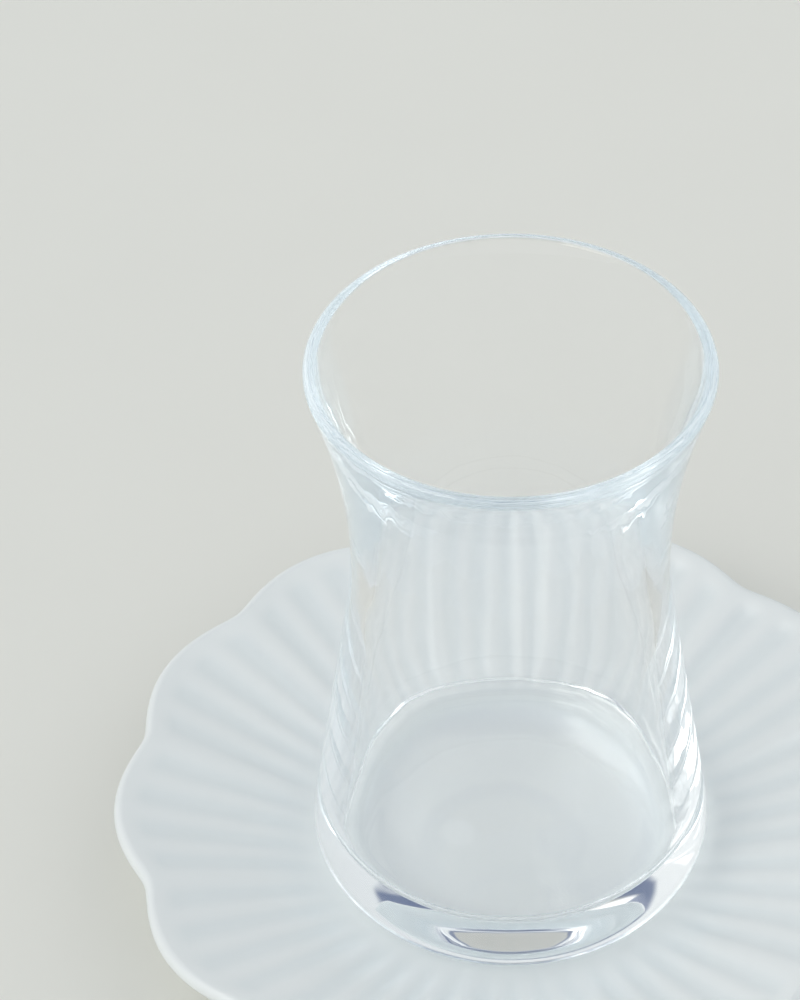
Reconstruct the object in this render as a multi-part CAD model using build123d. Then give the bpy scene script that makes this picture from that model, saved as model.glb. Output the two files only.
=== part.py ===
from build123d import *
from math import acos, asin, atan2, cos, hypot, radians, sin, tan
import os

# A waisted tea glass standing on its scalloped saucer, in millimetres, +Z up.
# The origin is the centre of the saucer's foot, on the surface that the saucer stands on.

# Tea glass, heights measured from its own base
glass_height = 96.7  # to the top of the lip
rim_radius = 28.5  # outside of the lip
waist_radius = 22.9  # outside, at the narrowest
waist_height = 60.8
waist_curve = 61.0  # radius of the hollow below the waist
belly_radius = 30.2  # outside, at the widest, just above the base
heel_radius = 7.0  # rounding from the belly down to the base
lip_wall = 1.9  # the wall grows thicker from the round lip down
waist_wall = 3.2
base_wall = 4.9
base_thickness = 9.5
floor_corner = 2.5  # rounding inside, from the floor up into the wall
base_ring = 3.5  # width of the flat ring that it stands on
punt_depth = 1.3  # shallow hollow inside that ring

# Saucer, heights measured from the table
saucer_radius = 60.8  # out to the tip of a petal
saucer_height = 17.0  # to the top of the lip
petals = 12
petal_turn = 2.0  # degrees from +X to the first petal's tip
petal_depth = 2.6  # how far a notch lies inside the tips
notch_rounding = 3.0  # outside radius of the lip in a notch
lip_thickness = 2.6  # round lip
plate_thickness = 2.4
well_thickness = 3.5
well_clearance = 2.3  # from the flat base of the glass to the well's edge
well_curve = 6.0  # radius of the hollow from the well up into the fluted field
foot_radius = 28.5
foot_width = 3.5
foot_height = 2.5
foot_rounding = 0.6

# Flutes, pressed into the field between the well and the lip
flutes_per_petal = 4
flute_pitch = 7.0  # degrees
flute_depth = 0.4  # at the lip end, fading out at the well
flute_curve = 9.0  # radius of a flute's hollow

# Where the pieces stand
well_floor = foot_height + well_thickness
well_radius = belly_radius - heel_radius + well_clearance


def polar(radius, angle):
    """Point at a radius and an angle in degrees, in the plane of the saucer."""
    return (radius * cos(radians(angle)), radius * sin(radians(angle)))


def turned(edges):
    """Solid of revolution about the upright axis from a closed half section of (radius, height)."""
    return revolve(Plane.XZ * make_face(edges), Axis.Z)


def across_taper(low, low_radius, high, high_radius):
    """Outward direction across the straight line that touches a round below it and a hollow above it."""
    span = high - low
    lean = atan2(span.Y, span.X) - acos((low_radius + high_radius) / hypot(span.X, span.Y))
    return Vector(cos(lean), sin(lean))


def flare_angle(spread, rise):
    """How far a flare that starts upright has leaned out where it meets the middle of the lip."""
    return asin(rise * 2 * spread / (rise**2 + spread**2))


def tea_glass():
    """One body of glass: hollow base, round heel, tapered bowl, waist, flared wall and round lip."""
    heel = Vector(belly_radius - heel_radius, heel_radius)
    corner = Vector(belly_radius - base_wall - floor_corner, base_thickness + floor_corner)
    waist = Vector(waist_radius, waist_height)
    waist_in = Vector(waist_radius - waist_wall, waist_height)
    hollow = waist + Vector(waist_curve, 0)
    hollow_in = waist_in + Vector(waist_curve, 0)

    out = across_taper(heel, heel_radius, hollow, waist_curve)
    out_in = across_taper(corner, floor_corner, hollow_in, waist_curve)
    up = Vector(-out.Y, out.X)
    down_in = Vector(out_in.Y, -out_in.X)

    # The flare is one arc on each side, upright at the waist and running into the round lip.
    lip_radius = lip_wall / 2
    lip = Vector(rim_radius - lip_radius, glass_height - lip_radius)
    rise = lip.Y - waist_height
    flare = flare_angle(rim_radius - waist_radius, rise)
    flare_in = flare_angle(rim_radius - lip_wall - waist_in.X, rise)
    over = (flare + flare_in) / 2
    lip_out = lip + Vector(cos(flare), -sin(flare)) * lip_radius
    lip_top = lip + Vector(sin(over), cos(over)) * lip_radius
    lip_in = lip - Vector(cos(flare_in), -sin(flare_in)) * lip_radius

    punt_radius = heel.X - base_ring
    section = [
        TangentArc((0, punt_depth), (punt_radius, 0), tangent=(1, 0)),
        Line((punt_radius, 0), (heel.X, 0)),
        TangentArc((heel.X, 0), heel + out * heel_radius, tangent=(1, 0)),
        Line(heel + out * heel_radius, hollow - out * waist_curve),
        TangentArc(hollow - out * waist_curve, waist, tangent=up),
        TangentArc(waist, lip_out, tangent=(0, 1)),
        ThreePointArc(lip_out, lip_top, lip_in),
        TangentArc(lip_in, waist_in, tangent=(-sin(flare_in), -cos(flare_in))),
        TangentArc(waist_in, hollow_in - out_in * waist_curve, tangent=(0, -1)),
        Line(hollow_in - out_in * waist_curve, corner + out_in * floor_corner),
        TangentArc(corner + out_in * floor_corner, (corner.X, base_thickness), tangent=down_in),
        Line((corner.X, base_thickness), (0, base_thickness)),
        Line((0, base_thickness), (0, punt_depth)),
    ]
    return Pos(0, 0, well_floor) * turned(section)


def petal_outline():
    """Face inside the lip's centre line: one arc for each petal, with rounded notches between them."""
    tip = saucer_radius - lip_thickness / 2
    notch = tip - petal_depth
    step = 360 / petals
    arcs = []
    for k in range(petals):
        middle = petal_turn + k * step
        ends = [polar(notch, middle + side * step / 2) for side in (-1, 1)]
        arcs.append(ThreePointArc(ends[0], polar(tip, middle), ends[1]))
    outline = make_face(arcs)
    return fillet(outline.vertices(), notch_rounding + lip_thickness / 2)


def saucer():
    """One body of porcelain: foot ring, plain well, fluted field and round scalloped lip."""
    lip_middle = saucer_height - lip_thickness / 2
    tip = saucer_radius - lip_thickness / 2
    lean = atan2(lip_middle + plate_thickness / 2 - well_floor, tip - well_radius)
    tip_top = well_floor + (tip - well_radius) * tan(lean)
    tip_under = tip_top - plate_thickness / cos(lean)
    foot_top = tip_under - (tip - foot_radius) * tan(lean)

    section = make_face(
        Polyline(
            (0, foot_height),
            (foot_radius - foot_width, foot_height),
            (foot_radius - foot_width, 0),
            (foot_radius, 0),
            (foot_radius, foot_top),
            (tip, tip_under),
            (tip, tip_top),
            (well_radius, well_floor),
            (0, well_floor),
            close=True,
        )
    )
    well_edge = section.vertices().sort_by_distance((well_radius, well_floor))[0]
    section = fillet(well_edge, well_curve)
    foot_edges = section.vertices().group_by(Axis.Y)[0]
    section = fillet(foot_edges, foot_rounding)
    plate = revolve(Plane.XZ * section, Axis.Z)

    outline = petal_outline()
    plate = plate & extrude(outline, saucer_height)

    # One flute is a long round cutter that meets the field at the well and sinks in towards the lip.
    above = Vector(-sin(lean), 0, cos(lean))
    inner = Vector(well_radius, 0, well_floor) + above * flute_curve
    outer = Vector(tip, 0, tip_top) + above * (flute_curve - flute_depth)
    along = outer - inner
    cutter = Plane(inner, z_dir=along) * Cylinder(
        flute_curve, 2 * along.length, align=(Align.CENTER, Align.CENTER, Align.MIN)
    )
    cutters = []
    for k in range(petals):
        for j in range(flutes_per_petal):
            offset = (j - (flutes_per_petal - 1) / 2) * flute_pitch
            cutters.append(Rot(0, 0, petal_turn + k * 360 / petals + offset) * cutter)
    plate = plate - cutters

    path = Pos(0, 0, lip_middle) * outline.face().outer_wire()
    start = path @ 0
    bead = Plane(start, z_dir=path % 0) * Circle(lip_thickness / 2)
    return plate + sweep(bead, path)


os.makedirs("parts", exist_ok=True)
export_step(tea_glass(), "parts/tea_glass.step")
export_step(saucer(), "parts/saucer.step")
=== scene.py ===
from math import acos, asin, atan2, cos, hypot, pi, radians, sin, tan

import bpy
import numpy as np
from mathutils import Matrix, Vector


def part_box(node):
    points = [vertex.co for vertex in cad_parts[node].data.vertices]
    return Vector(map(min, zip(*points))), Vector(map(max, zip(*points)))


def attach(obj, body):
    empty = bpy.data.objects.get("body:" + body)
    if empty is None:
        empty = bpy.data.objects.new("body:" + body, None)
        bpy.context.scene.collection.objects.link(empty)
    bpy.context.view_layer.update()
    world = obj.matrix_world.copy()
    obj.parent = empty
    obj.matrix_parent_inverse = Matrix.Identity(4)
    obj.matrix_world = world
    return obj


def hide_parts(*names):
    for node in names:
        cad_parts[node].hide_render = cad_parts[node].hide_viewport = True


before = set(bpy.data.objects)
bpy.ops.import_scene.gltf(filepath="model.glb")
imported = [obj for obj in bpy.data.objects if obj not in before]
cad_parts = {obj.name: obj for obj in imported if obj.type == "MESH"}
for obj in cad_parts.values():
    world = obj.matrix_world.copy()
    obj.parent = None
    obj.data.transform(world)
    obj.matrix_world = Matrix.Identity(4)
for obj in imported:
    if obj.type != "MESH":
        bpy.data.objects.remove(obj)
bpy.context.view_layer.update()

MM = 0.001

# Tea glass, in millimetres, heights from its own base
glass_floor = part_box("tea_glass")[0][2]
glass_height = (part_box("tea_glass")[1][2] - glass_floor) / MM
belly_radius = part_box("tea_glass")[1][0] / MM
rim_radius = 28.5
waist_radius = 22.9
waist_height = 60.8
waist_curve = 61.0
heel_radius = 7.0
lip_wall = 1.9
waist_wall = 3.2
base_wall = 4.9
base_thickness = 9.5
floor_corner = 2.5
floor_dish = 0.1
base_ring = 3.5
punt_depth = 1.3
standing_gap = 0.06  # keeps the faces of glass and porcelain apart
wall_easing = 4.0  # reach of the smoothing where the wall's curves meet

# Ripple of the glass wall, in millimetres
ripple_height = 0.025
ripple_size = 7.0
ripple_stretch = 0.45  # below 1, the ripple is drawn out upwards
ripple_span = 2.0  # brings a noise of half a step either way to the whole height
ripple_start = 8.0  # above the base
ripple_full = 30.0  # above the table
lip_plain = 3.0  # below the top of the lip, where there is no ripple
lip_fade = 14.0  # below the top of the lip, where the ripple is whole

# Saucer, in millimetres, heights from the table
saucer_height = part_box("saucer")[1][2] / MM
saucer_radius = 60.8
petals = 12
petal_turn = 2.0
petal_depth = 2.6
plate_thickness = 2.5
well_floor = glass_floor / MM
well_radius = 25.5
well_curve = 6.0
foot_radius = 28.5
foot_width = 3.5
foot_height = 2.5
flutes_per_petal = 4
flute_pitch = 7.2
flute_depth = 0.38
flute_start = 1.0  # from the well's edge
flute_full = 14.0  # from the well's edge
flute_stop = 2.6  # short of the lip
notch_softness = 0.03  # rounds the notches between the petals
lobe_low = 0.173  # the softened lobe at a notch and at a tip
lobe_high = 1.015
lip_roundness = 0.98  # just under a whole half round
foot_fillet = 1.5  # from the foot out into the plate
foot_rounding = 0.7
recess_rounding = 1.0

# How finely the pieces are made, with lengths in millimetres
glass_steps = 720
saucer_steps = 432
floor_rings = 5
punt_rings = 6
corner_steps = 12
lip_steps = 24
heel_steps = 16
wall_heights = 36
curve_step = 0.25
curve_margin = 20
section_step = 1.0
least_turns = 4
turns_per_radian = 9
weld = 0.005
core_radius = 10 * MM  # of the ring that a section is swept along, in metres


def linear(code):
    """Linear colour from an sRGB hex value."""
    values = [int(code[k:k + 2], 16) / 255 for k in (1, 3, 5)]
    return [v / 12.92 if v <= 0.04045 else ((v + 0.055) / 1.055) ** 2.4 for v in values] + [1.0]


def add(tree, kind, inputs=None, **settings):
    """Adds one node to a tree, with its settings, and its inputs as values or as sockets to link."""
    made = tree.nodes.new(kind)
    for name, value in settings.items():
        setattr(made, name, value)
    for name, value in (inputs or {}).items():
        if isinstance(value, bpy.types.NodeSocket):
            tree.links.new(value, made.inputs[name])
        else:
            made.inputs[name].default_value = value
    return made


# Sections: half outlines of (radius, height) in millimetres, from the axis round to the axis


def arc(centre, radius, start, end, count):
    """Points along a round stretch, by angle in radians."""
    turns = np.linspace(start, end, count + 1)
    return np.column_stack([centre[0] + radius * np.cos(turns), centre[1] + radius * np.sin(turns)])


def rounded(corners, step):
    """Outline through corners of (radius, height, rounding), with no stretch longer than step."""
    points = [np.array([corners[0][:2]])]
    for before, corner, after in zip(corners, corners[1:], corners[2:]):
        here = np.array(corner[:2])
        back = np.array(before[:2]) - here
        ahead = np.array(after[:2]) - here
        back = back / np.hypot(*back)
        ahead = ahead / np.hypot(*ahead)
        half = acos(np.clip(back @ ahead, -1, 1)) / 2
        middle = (back + ahead) / np.hypot(*(back + ahead))
        centre = here + middle * corner[2] / sin(half)
        starts = here + back * corner[2] / tan(half) - centre
        ends = here + ahead * corner[2] / tan(half) - centre
        first = atan2(starts[1], starts[0])
        sweep = (atan2(ends[1], ends[0]) - first + pi) % (2 * pi) - pi
        turns = max(least_turns, int(abs(sweep) * turns_per_radian))
        points.append(arc(centre, corner[2], first, first + sweep, turns))
    points.append(np.array([corners[-1][:2]]))
    points = np.concatenate(points)
    dense = [points[:1]]
    for a, b in zip(points, points[1:]):
        count = max(1, int(np.ceil(np.hypot(*(b - a)) / step)))
        dense.append(a + (b - a) * np.linspace(0, 1, count + 1)[1:, None])
    return np.concatenate(dense)


def wall_side(low, low_radius, waist, spread, lip_offset):
    """One side of the wall: lean above the round at its foot, flare at the lip, and points between."""
    hollow = waist + waist_curve
    span = hollow - low[0], waist_height - low[1]
    lean = atan2(span[1], span[0]) - acos((low_radius + waist_curve) / hypot(*span))
    taper_top = waist_height - waist_curve * sin(lean)
    taper_radius = hollow - waist_curve * cos(lean)
    rise = glass_height - lip_wall / 2 - waist_height
    middle = (rise**2 + spread**2) / (2 * spread)
    flare = asin(rise / middle)
    arch = middle - lip_offset

    fine = np.arange(-curve_margin, glass_height + curve_margin, curve_step)
    taper = taper_radius + (taper_top - fine) * tan(lean)
    below = hollow - np.sqrt(np.maximum(waist_curve**2 - (fine - waist_height) ** 2, 1))
    above = waist + arch - np.sqrt(np.maximum(arch**2 - (fine - waist_height) ** 2, 1))
    radius = np.where(fine < taper_top, taper, np.where(fine < waist_height, below, above))
    reach = np.arange(-3 * wall_easing, 3 * wall_easing + curve_step / 2, curve_step)
    weight = np.exp(-0.5 * (reach / wall_easing) ** 2)
    eased = np.convolve(np.pad(radius, len(reach) // 2, mode="edge"), weight / weight.sum(), mode="valid")
    foot = low[1] + low_radius * sin(lean)
    top = glass_height - lip_wall / 2 - lip_offset * sin(flare)
    heights = np.linspace(foot, top, wall_heights)
    return lean, flare, np.column_stack([np.interp(heights, fine, eased), heights])[1:-1]


def glass_section():
    """Floor, inside wall, round lip, outside wall, heel, standing ring and hollow base."""
    heel = (belly_radius - heel_radius, heel_radius)
    corner = (belly_radius - base_wall - floor_corner, base_thickness + floor_corner)
    lip_radius = lip_wall / 2
    lip_centre = (rim_radius - lip_radius, glass_height - lip_radius)
    waist_in = waist_radius - waist_wall
    lean, flare, outside = wall_side(heel, heel_radius, waist_radius, rim_radius - waist_radius, lip_radius)
    lean_in, flare_in, inside = wall_side(
        corner, floor_corner, waist_in, rim_radius - lip_wall - waist_in, -lip_radius
    )
    across = np.linspace(0, corner[0], floor_rings)[:-1]
    floor = np.column_stack([across, base_thickness - floor_dish * (1 - (across / corner[0]) ** 2)])
    under = np.linspace(heel[0] - base_ring, 0, punt_rings)
    punt = np.column_stack([under, punt_depth * (1 - (under / under[0]) ** 2)])
    section = np.concatenate(
        [
            floor,
            arc(corner, floor_corner, -pi / 2, lean_in, corner_steps),
            inside,
            arc(lip_centre, lip_radius, pi - flare_in, -flare, lip_steps),
            outside[::-1],
            arc(heel, heel_radius, lean, -pi / 2, heel_steps),
            np.array([[heel[0] - base_ring / 2, 0]]),
            punt,
        ]
    )
    section[:, 1] += standing_gap
    return section


def saucer_section():
    """Well, fluted field, round lip, underside and foot ring."""
    half = plate_thickness / 2
    end = np.array([saucer_radius - half, saucer_height - half])
    lean = atan2(end[1] - well_floor + half, end[0] - well_radius)
    along = np.array([cos(lean), sin(lean)]) * half
    across = np.array([-sin(lean), cos(lean)]) * half
    foot_top = end[1] - half / cos(lean) - (end[0] - foot_radius) * tan(lean)
    lip_rounding = lip_roundness * half
    corners = [
        (0, well_floor, 0),
        (well_radius, well_floor, well_curve),
        (*(end + along + across), lip_rounding),
        (*(end + along - across), lip_rounding),
        (foot_radius, foot_top, foot_fillet),
        (foot_radius, 0, foot_rounding),
        (foot_radius - foot_width, 0, foot_rounding),
        (foot_radius - foot_width, foot_height, recess_rounding),
        (0, foot_height, 0),
    ]
    return rounded(corners, section_step)


def section_object(name, section, top_until):
    """Section as a line of edges in its own plane, with a mark on the points of its top side."""
    mesh = bpy.data.meshes.new(name)
    points = [(r * MM - core_radius, -z * MM, 0) for r, z in section]
    mesh.from_pydata(points, [(k, k + 1) for k in range(len(points) - 1)], [])
    mark = mesh.attributes.new("top", "FLOAT", "POINT")
    mark.data.foreach_set("value", [1.0 if k <= top_until else 0.0 for k in range(len(points))])
    piece = bpy.data.objects.new(name, mesh)
    bpy.context.scene.collection.objects.link(piece)
    return piece


def turning_tree(name, sizes):
    """Starts a tree that turns a section round the upright axis; gives it, its inputs and the mesh."""
    tree = bpy.data.node_groups.new(name, "GeometryNodeTree")
    tree.interface.new_socket("Section", in_out="INPUT", socket_type="NodeSocketGeometry")
    tree.interface.new_socket("Piece", in_out="OUTPUT", socket_type="NodeSocketGeometry")
    for size in ["Steps round"] + sizes:
        kind = "NodeSocketInt" if size == "Steps round" else "NodeSocketFloat"
        tree.interface.new_socket(size, in_out="INPUT", socket_type=kind)
    tree.interface.new_socket("Material", in_out="INPUT", socket_type="NodeSocketMaterial")
    given = add(tree, "NodeGroupInput").outputs
    ring = add(
        tree,
        "GeometryNodeCurvePrimitiveCircle",
        {"Resolution": given["Steps round"], "Radius": core_radius},
    )
    upright = add(tree, "GeometryNodeSetCurveNormal", {"Curve": ring.outputs["Curve"]}, mode="Z_UP")
    line = add(tree, "GeometryNodeMeshToCurve", {"Mesh": given["Section"]})
    turned = add(
        tree,
        "GeometryNodeCurveToMesh",
        {"Curve": upright.outputs["Curve"], "Profile Curve": line.outputs["Curve"]},
    )
    closed = add(
        tree,
        "GeometryNodeMergeByDistance",
        {"Geometry": turned.outputs["Mesh"], "Distance": weld * MM},
    )
    return tree, given, closed.outputs["Geometry"]


def finish_tree(tree, given, mesh):
    """Ends a node tree: smooth faces, its material, and a plain mesh."""
    smooth = add(tree, "GeometryNodeSetShadeSmooth", {"Geometry": mesh})
    real = add(tree, "GeometryNodeRealizeInstances", {"Geometry": smooth.outputs["Geometry"]})
    coated = add(
        tree, "GeometryNodeSetMaterial", {"Geometry": real.outputs["Geometry"], "Material": given["Material"]}
    )
    add(tree, "NodeGroupOutput", {"Piece": coated.outputs["Geometry"]})


def made_piece(piece, tree, values):
    """Runs a tree on a section and keeps the result as the object's own plain mesh."""
    modifier = piece.modifiers.new(tree.name, "NODES")
    modifier.node_group = tree
    for socket in tree.interface.items_tree:
        if socket.in_out == "INPUT" and socket.name in values:
            modifier[socket.identifier] = values[socket.name]
    evaluated = piece.evaluated_get(bpy.context.evaluated_depsgraph_get())
    mesh = bpy.data.meshes.new_from_object(evaluated)
    piece.modifiers.remove(modifier)
    mesh.name = piece.name
    piece.data = mesh


def glass_tree():
    """Turned glass with the faint ripple that a pressing mould leaves in its wall."""
    tree, given, turned = turning_tree(
        "Turned glass", ["Base height", "Lip height", "Ripple height", "Ripple size"]
    )
    place = add(tree, "GeometryNodeInputPosition").outputs["Position"]
    axes = add(tree, "ShaderNodeSeparateXYZ", {"Vector": place})
    fine = add(tree, "ShaderNodeMath", {0: 1.0, 1: given["Ripple size"]}, operation="DIVIDE")
    drawn = add(tree, "ShaderNodeVectorMath", {0: place, 1: (1.0, 1.0, ripple_stretch)}, operation="MULTIPLY")
    noise = add(
        tree, "ShaderNodeTexNoise", {"Vector": drawn.outputs[0], "Scale": fine.outputs[0], "Detail": 1.0}
    )
    height = add(tree, "ShaderNodeMath", {0: noise.outputs[0], 1: 0.5}, operation="SUBTRACT")
    height = add(
        tree, "ShaderNodeMath", {0: height.outputs[0], 1: given["Ripple height"]}, operation="MULTIPLY"
    )
    above = add(
        tree,
        "ShaderNodeMapRange",
        {
            "Value": axes.outputs["Z"],
            "From Min": given["Base height"],
            "From Max": ripple_full * MM,
            "To Max": ripple_span,
        },
        interpolation_type="SMOOTHSTEP",
    )
    below = add(tree, "ShaderNodeMath", {0: given["Lip height"], 1: axes.outputs["Z"]}, operation="SUBTRACT")
    below = add(
        tree,
        "ShaderNodeMapRange",
        {"Value": below.outputs[0], "From Min": lip_plain * MM, "From Max": lip_fade * MM},
        interpolation_type="SMOOTHSTEP",
    )
    height = add(tree, "ShaderNodeMath", {0: height.outputs[0], 1: above.outputs[0]}, operation="MULTIPLY")
    height = add(tree, "ShaderNodeMath", {0: height.outputs[0], 1: below.outputs[0]}, operation="MULTIPLY")
    normal = add(tree, "GeometryNodeInputNormal").outputs["Normal"]
    shift = add(tree, "ShaderNodeVectorMath", {0: normal, "Scale": height.outputs[0]}, operation="SCALE")
    rippled = add(tree, "GeometryNodeSetPosition", {"Geometry": turned, "Offset": shift.outputs[0]})
    finish_tree(tree, given, rippled.outputs["Geometry"])
    return tree


def saucer_tree():
    """Turned saucer, drawn in at the notches between its petals, with flutes pressed into its field."""
    tree, given, turned = turning_tree(
        "Fluted saucer",
        [
            "Petals",
            "Petal turn",
            "Petal depth",
            "Flute pitch",
            "Flutes in petal",
            "Flute depth",
            "Well radius",
            "Lip radius",
        ],
    )
    place = add(tree, "GeometryNodeInputPosition").outputs["Position"]
    axes = add(tree, "ShaderNodeSeparateXYZ", {"Vector": place})
    flat = add(tree, "ShaderNodeVectorMath", {0: place, 1: (1.0, 1.0, 0.0)}, operation="MULTIPLY")
    radius = add(tree, "ShaderNodeVectorMath", {0: flat.outputs[0]}, operation="LENGTH").outputs["Value"]
    angle = add(tree, "ShaderNodeMath", {0: axes.outputs["Y"], 1: axes.outputs["X"]}, operation="ARCTAN2")
    angle = add(tree, "ShaderNodeMath", {0: angle.outputs[0], 1: given["Petal turn"]}, operation="SUBTRACT")

    # Petals: each is a rounded lobe, full at its tip and drawn in at the notches.
    lobe = add(tree, "ShaderNodeMath", {0: angle.outputs[0], 1: given["Petals"]}, operation="MULTIPLY")
    lobe = add(tree, "ShaderNodeMath", {0: lobe.outputs[0], 1: 0.5}, operation="MULTIPLY")
    lobe = add(tree, "ShaderNodeMath", {0: lobe.outputs[0]}, operation="COSINE")
    lobe = add(
        tree,
        "ShaderNodeMath",
        {0: lobe.outputs[0], 1: lobe.outputs[0], 2: notch_softness},
        operation="MULTIPLY_ADD",
    )
    lobe = add(tree, "ShaderNodeMath", {0: lobe.outputs[0]}, operation="SQRT")
    inset = add(
        tree,
        "ShaderNodeMapRange",
        {
            "Value": lobe.outputs[0],
            "From Min": lobe_low,
            "From Max": lobe_high,
            "To Min": given["Petal depth"],
            "To Max": 0.0,
        },
    )
    fade = add(
        tree,
        "ShaderNodeMapRange",
        {"Value": radius, "From Min": given["Well radius"], "From Max": given["Lip radius"]},
        interpolation_type="SMOOTHSTEP",
    )
    inset = add(tree, "ShaderNodeMath", {0: inset.outputs[0], 1: fade.outputs[0]}, operation="MULTIPLY")
    drawn = add(tree, "ShaderNodeMath", {0: inset.outputs[0], 1: radius}, operation="DIVIDE")
    inward = add(tree, "ShaderNodeMath", {0: drawn.outputs[0], 1: -1.0}, operation="MULTIPLY")
    inward = add(
        tree, "ShaderNodeVectorMath", {0: flat.outputs[0], "Scale": inward.outputs[0]}, operation="SCALE"
    )

    # Flutes: a wave across each petal that stops short of the notches.
    step = add(tree, "ShaderNodeMath", {0: pi, 1: given["Petals"]}, operation="DIVIDE")
    back = add(tree, "ShaderNodeMath", {0: step.outputs[0], 1: -1.0}, operation="MULTIPLY")
    local = add(
        tree,
        "ShaderNodeMath",
        {0: angle.outputs[0], 1: step.outputs[0], 2: back.outputs[0]},
        operation="WRAP",
    )
    count = add(tree, "ShaderNodeMath", {0: local.outputs[0], 1: given["Flute pitch"]}, operation="DIVIDE")
    wave = add(tree, "ShaderNodeMath", {0: count.outputs[0], 1: 2 * pi}, operation="MULTIPLY")
    wave = add(tree, "ShaderNodeMath", {0: wave.outputs[0]}, operation="COSINE")
    wave = add(tree, "ShaderNodeMath", {0: wave.outputs[0], 1: -0.5, 2: 0.5}, operation="MULTIPLY_ADD")
    side = add(tree, "ShaderNodeMath", {0: count.outputs[0]}, operation="ABSOLUTE")
    half = add(tree, "ShaderNodeMath", {0: given["Flutes in petal"], 1: 0.5}, operation="MULTIPLY")
    held = add(tree, "ShaderNodeMath", {0: side.outputs[0], 1: half.outputs[0]}, operation="LESS_THAN")
    wave = add(tree, "ShaderNodeMath", {0: wave.outputs[0], 1: held.outputs[0]}, operation="MULTIPLY")
    start = add(tree, "ShaderNodeMath", {0: given["Well radius"], 1: flute_start * MM}, operation="ADD")
    full = add(tree, "ShaderNodeMath", {0: given["Well radius"], 1: flute_full * MM}, operation="ADD")
    deeper = add(
        tree,
        "ShaderNodeMapRange",
        {"Value": radius, "From Min": start.outputs[0], "From Max": full.outputs[0]},
        interpolation_type="SMOOTHSTEP",
    )
    near = add(tree, "ShaderNodeMath", {0: given["Lip radius"], 1: flute_stop * MM}, operation="SUBTRACT")
    stop = add(
        tree,
        "ShaderNodeMapRange",
        {
            "Value": radius,
            "From Min": near.outputs[0],
            "From Max": given["Lip radius"],
            "To Min": 1.0,
            "To Max": 0.0,
        },
        interpolation_type="SMOOTHSTEP",
    )
    wave = add(tree, "ShaderNodeMath", {0: wave.outputs[0], 1: deeper.outputs[0]}, operation="MULTIPLY")
    wave = add(tree, "ShaderNodeMath", {0: wave.outputs[0], 1: stop.outputs[0]}, operation="MULTIPLY")
    top = add(tree, "GeometryNodeInputNamedAttribute", {"Name": "top"}, data_type="FLOAT")
    wave = add(
        tree, "ShaderNodeMath", {0: wave.outputs[0], 1: top.outputs["Attribute"]}, operation="MULTIPLY"
    )
    sunk = add(tree, "ShaderNodeMath", {0: wave.outputs[0], 1: given["Flute depth"]}, operation="MULTIPLY")
    sunk = add(tree, "ShaderNodeMath", {0: sunk.outputs[0], 1: -1.0}, operation="MULTIPLY")
    lowered = add(tree, "ShaderNodeCombineXYZ", {"Z": sunk.outputs[0]})
    shift = add(tree, "ShaderNodeVectorMath", {0: inward.outputs[0], 1: lowered.outputs[0]}, operation="ADD")
    # Keeps the flute wave on the points; the material uses it to paint shade into the flutes.
    flute_shade_marked = add(
        tree,
        "GeometryNodeStoreNamedAttribute",
        {"Geometry": turned, "Name": "flute", "Value": wave.outputs[0]},
        data_type="FLOAT",
        domain="POINT",
    )
    pressed = add(
        tree, "GeometryNodeSetPosition", {"Geometry": flute_shade_marked.outputs["Geometry"], "Offset": shift.outputs[0]}
    )
    finish_tree(tree, given, pressed.outputs["Geometry"])
    return tree


# Materials, with the sizes of their patterns in millimetres

skin_size = 4  # waves in the glass
skin_height = 0.05
cloud_size = 18  # uneven glaze
cloud_share = 0.35
peel_size = 5  # waves on the glaze
peel_height = 0.1
tooth_size = 40  # uneven paint


def new_material(name):
    """Empty material; gives it, its tree and its surface shader."""
    material = bpy.data.materials.new(name)
    material.use_nodes = True
    tree = material.node_tree
    tree.nodes.clear()
    shader = add(tree, "ShaderNodeBsdfPrincipled")
    add(tree, "ShaderNodeOutputMaterial", {"Surface": shader.outputs[0]})
    return material, tree, shader


# Soda-lime glass, pressed and fire polished: clear and sharp, with the faint waviness of a mould's skin and a
# faint blue where one looks along it.
soda_glass, tree, shader = new_material("Pressed soda-lime glass")
shader.inputs["Base Color"].default_value = linear("#FFFFFF")
shader.inputs["Transmission Weight"].default_value = 1.0
shader.inputs["IOR"].default_value = 1.52
shader.inputs["Roughness"].default_value = 0.0
place = add(tree, "ShaderNodeTexCoord").outputs["Object"]
skin = add(tree, "ShaderNodeTexNoise", {"Vector": place, "Scale": 1 / (skin_size * MM), "Detail": 1.0})
bump = add(
    tree,
    "ShaderNodeBump",
    {"Height": skin.outputs[0], "Strength": 0.1, "Distance": skin_height * MM},
)
tree.links.new(bump.outputs[0], shader.inputs["Normal"])
tint = add(tree, "ShaderNodeVolumeAbsorption", {"Color": linear("#C4EDFF"), "Density": 1.6})
tree.links.new(tint.outputs[0], tree.nodes["Material Output"].inputs["Volume"])

# Porcelain under a clear cool glaze, a little uneven in tone at random; the flutes are painted a little
# greyer, which is painted shade in their hollows.
porcelain, tree, shader = new_material("Glazed white porcelain")
place = add(tree, "ShaderNodeTexCoord").outputs["Object"]
# The flute mark, used here to paint shade into the flutes.
flute_shade = add(tree, "ShaderNodeAttribute", attribute_name="flute")
cloud = add(tree, "ShaderNodeTexNoise", {"Vector": place, "Scale": 1 / (cloud_size * MM), "Detail": 2.0})
tone_and_flute_shade = add(
    tree,
    "ShaderNodeMath",
    {0: cloud.outputs[0], 1: cloud_share, 2: flute_shade.outputs["Fac"]},
    operation="MULTIPLY_ADD",
)
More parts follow.
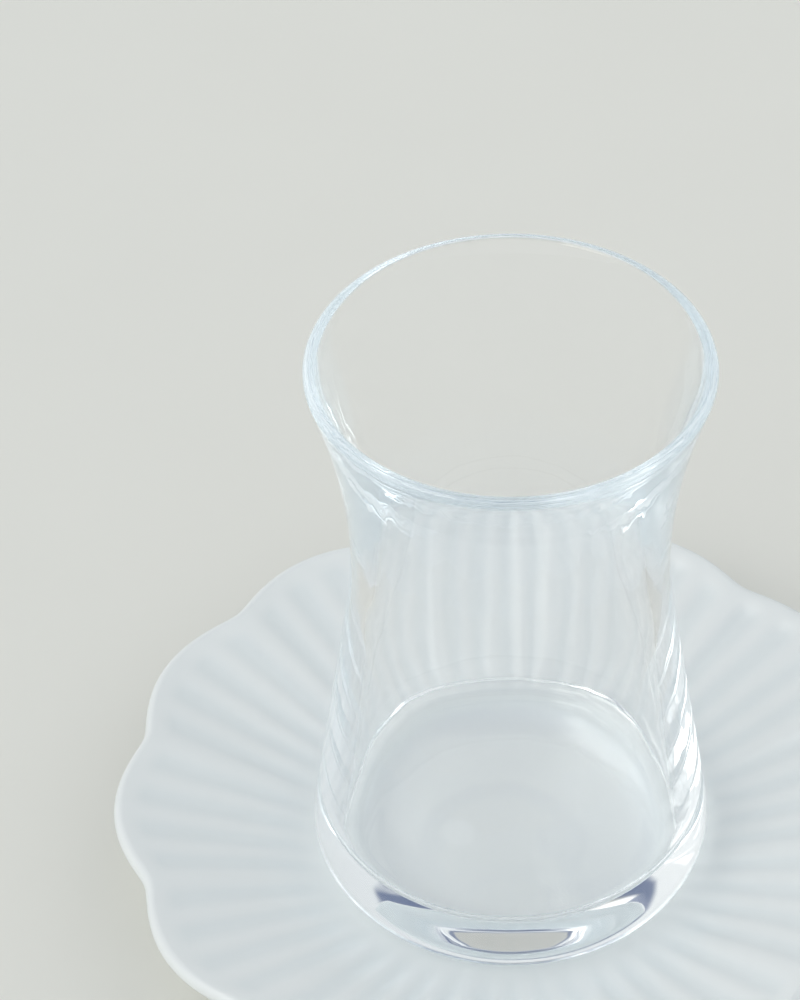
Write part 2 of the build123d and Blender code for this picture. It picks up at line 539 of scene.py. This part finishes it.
# The greyer colour is painted shade where the flute mark is high, and uneven glaze tone where the noise is
# high.
glaze = add(
    tree,
    "ShaderNodeMix",
    {0: tone_and_flute_shade.outputs[0], 6: linear("#E4E8E8"), 7: linear("#DDE3E4")},
    data_type="RGBA",
)
tree.links.new(glaze.outputs[2], shader.inputs["Base Color"])
shader.inputs["Roughness"].default_value = 0.28
shader.inputs["IOR"].default_value = 1.5
shader.inputs["Coat Weight"].default_value = 0.4
shader.inputs["Coat Roughness"].default_value = 0.12
peel = add(tree, "ShaderNodeTexNoise", {"Vector": place, "Scale": 1 / (peel_size * MM), "Detail": 2.0})
bump = add(
    tree,
    "ShaderNodeBump",
    {"Height": peel.outputs[0], "Strength": 0.15, "Distance": peel_height * MM},
)
tree.links.new(bump.outputs[0], shader.inputs["Normal"])

# Matt painted board under the object.
board, tree, shader = new_material("Matt painted board")
place = add(tree, "ShaderNodeTexCoord").outputs["Object"]
tooth = add(tree, "ShaderNodeTexNoise", {"Vector": place, "Scale": 1 / (tooth_size * MM), "Detail": 3.0})
paint = add(
    tree, "ShaderNodeMix", {0: tooth.outputs[0], 6: linear("#E4E4DE"), 7: linear("#E1E1DB")}, data_type="RGBA"
)
tree.links.new(paint.outputs[2], shader.inputs["Base Color"])
shader.inputs["Roughness"].default_value = 0.85
shader.inputs["Specular IOR Level"].default_value = 0.1

# Pieces

glass = section_object("glass_body", glass_section(), -1)
# A section's height runs down its Y, so this lifts the glass to where it stands.
for point in glass.data.vertices:
    point.co.y -= glass_floor
made_piece(
    glass,
    glass_tree(),
    {
        "Steps round": glass_steps,
        "Base height": glass_floor + ripple_start * MM,
        "Lip height": glass_floor + glass_height * MM,
        "Ripple height": ripple_height * MM,
        "Ripple size": ripple_size * MM,
        "Material": soda_glass,
    },
)
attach(glass, "tea_glass")
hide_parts("tea_glass")

outline = saucer_section()
saucer = section_object("saucer_dish", outline, int(np.argmax(outline[:, 1])))
made_piece(
    saucer,
    saucer_tree(),
    {
        "Steps round": saucer_steps,
        "Petals": float(petals),
        "Petal turn": radians(petal_turn),
        "Petal depth": petal_depth * MM,
        "Flute pitch": radians(flute_pitch),
        "Flutes in petal": float(flutes_per_petal),
        "Flute depth": flute_depth * MM,
        "Well radius": well_radius * MM,
        "Lip radius": (saucer_radius - plate_thickness) * MM,
        "Material": porcelain,
    },
)
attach(saucer, "saucer")
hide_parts("saucer")

# Floor, light and camera

mesh = bpy.data.meshes.new("floor")
half = 4.0  # metres, so that its edge is out of sight
mesh.from_pydata([(-half, -half, 0), (half, -half, 0), (half, half, 0), (-half, half, 0)], [], [(0, 1, 2, 3)])
mesh.materials.append(board)
floor = bpy.data.objects.new("floor", mesh)
bpy.context.scene.collection.objects.link(floor)

world = bpy.data.worlds.new("studio")
bpy.context.scene.world = world
world.use_nodes = True
tree = world.node_tree
tree.nodes.clear()
aim = add(tree, "ShaderNodeTexCoord").outputs["Generated"]

# White walls, a little brighter towards the front left
room_dim = (0.70, 0.73, 0.74, 1.0)
room_lit = (1.04, 1.05, 1.04, 1.0)
lit_side = (-0.9, -0.43, 0.0)
toward = add(tree, "ShaderNodeVectorMath", {0: aim, 1: lit_side}, operation="DOT_PRODUCT")
share = add(tree, "ShaderNodeMapRange", {"Value": toward.outputs["Value"], "From Min": -1.0, "From Max": 1.0})
room = add(tree, "ShaderNodeMix", {0: share.outputs[0], 6: room_dim, 7: room_lit}, data_type="RGBA")

# Soft round cards that light the set and give the clear glass its lines: heading, height, radius and
# soft edge in degrees, and colour. A later card lies over an earlier one.
dark = (0.12, 0.16, 0.28, 1.0)
sand = (0.52, 0.52, 0.49, 1.0)
pale = (1.30, 1.30, 1.30, 1.0)
bright = (2.40, 2.40, 2.35, 1.0)
softbox = (3.60, 3.60, 3.50, 1.0)
cards = [
    (92, 58, 22, 3, dark),
    (92, 58, 17, 3, sand),
    (-95, 79, 22, 5, dark),
    (-40, 72, 10, 5, dark),
    (186, 64, 16, 6, bright),
    (220, 44, 14, 4, softbox),
    (66, 53, 8, 3, dark),
    (108, 51, 5, 3, pale),
    (117, 52, 3, 2, dark),
    (152, 50, 5, 3, pale),
]
for heading, height, reach, edge, shade in cards:
    around, up = radians(heading), radians(height)
    middle = (cos(up) * cos(around), cos(up) * sin(around), sin(up))
    near = add(tree, "ShaderNodeVectorMath", {0: aim, 1: middle}, operation="DOT_PRODUCT")
    cover = add(
        tree,
        "ShaderNodeMapRange",
        {
            "Value": near.outputs["Value"],
            "From Min": cos(radians(reach)),
            "From Max": cos(radians(reach - edge)),
        },
        interpolation_type="SMOOTHSTEP",
    )
    room = add(tree, "ShaderNodeMix", {0: cover.outputs[0], 6: room.outputs[2], 7: shade}, data_type="RGBA")
sky = add(tree, "ShaderNodeBackground", {"Color": room.outputs[2], "Strength": 1.0})
add(tree, "ShaderNodeOutputWorld", {"Surface": sky.outputs[0]})

focal_pixels = 3561
picture_pixels = 1000  # longer side
camera_place = (-15.62, -368.99, 421.23)  # millimetres
camera_down = 42.973  # degrees below level
camera_turn = -1.663  # degrees
lens = bpy.data.cameras.new("camera")
lens.sensor_width = 36.0
lens.lens = focal_pixels * lens.sensor_width / picture_pixels
lens.clip_start = 0.01
camera = bpy.data.objects.new("camera", lens)
camera.location = [value * MM for value in camera_place]
camera.rotation_mode = "ZYX"
camera.rotation_euler = (radians(90 - camera_down), 0, radians(camera_turn))
bpy.context.scene.collection.objects.link(camera)
bpy.context.scene.camera = camera

bpy.context.scene.view_settings.view_transform = "Standard"

# Light goes through many walls of clear glass, and runs along inside its lip and base.
bounces = 96
paths = bpy.context.scene.cycles
paths.max_bounces = bounces
paths.transmission_bounces = bounces
paths.glossy_bounces = bounces
paths.blur_glossy = 0.0  # its blur loses light that comes through clear glass
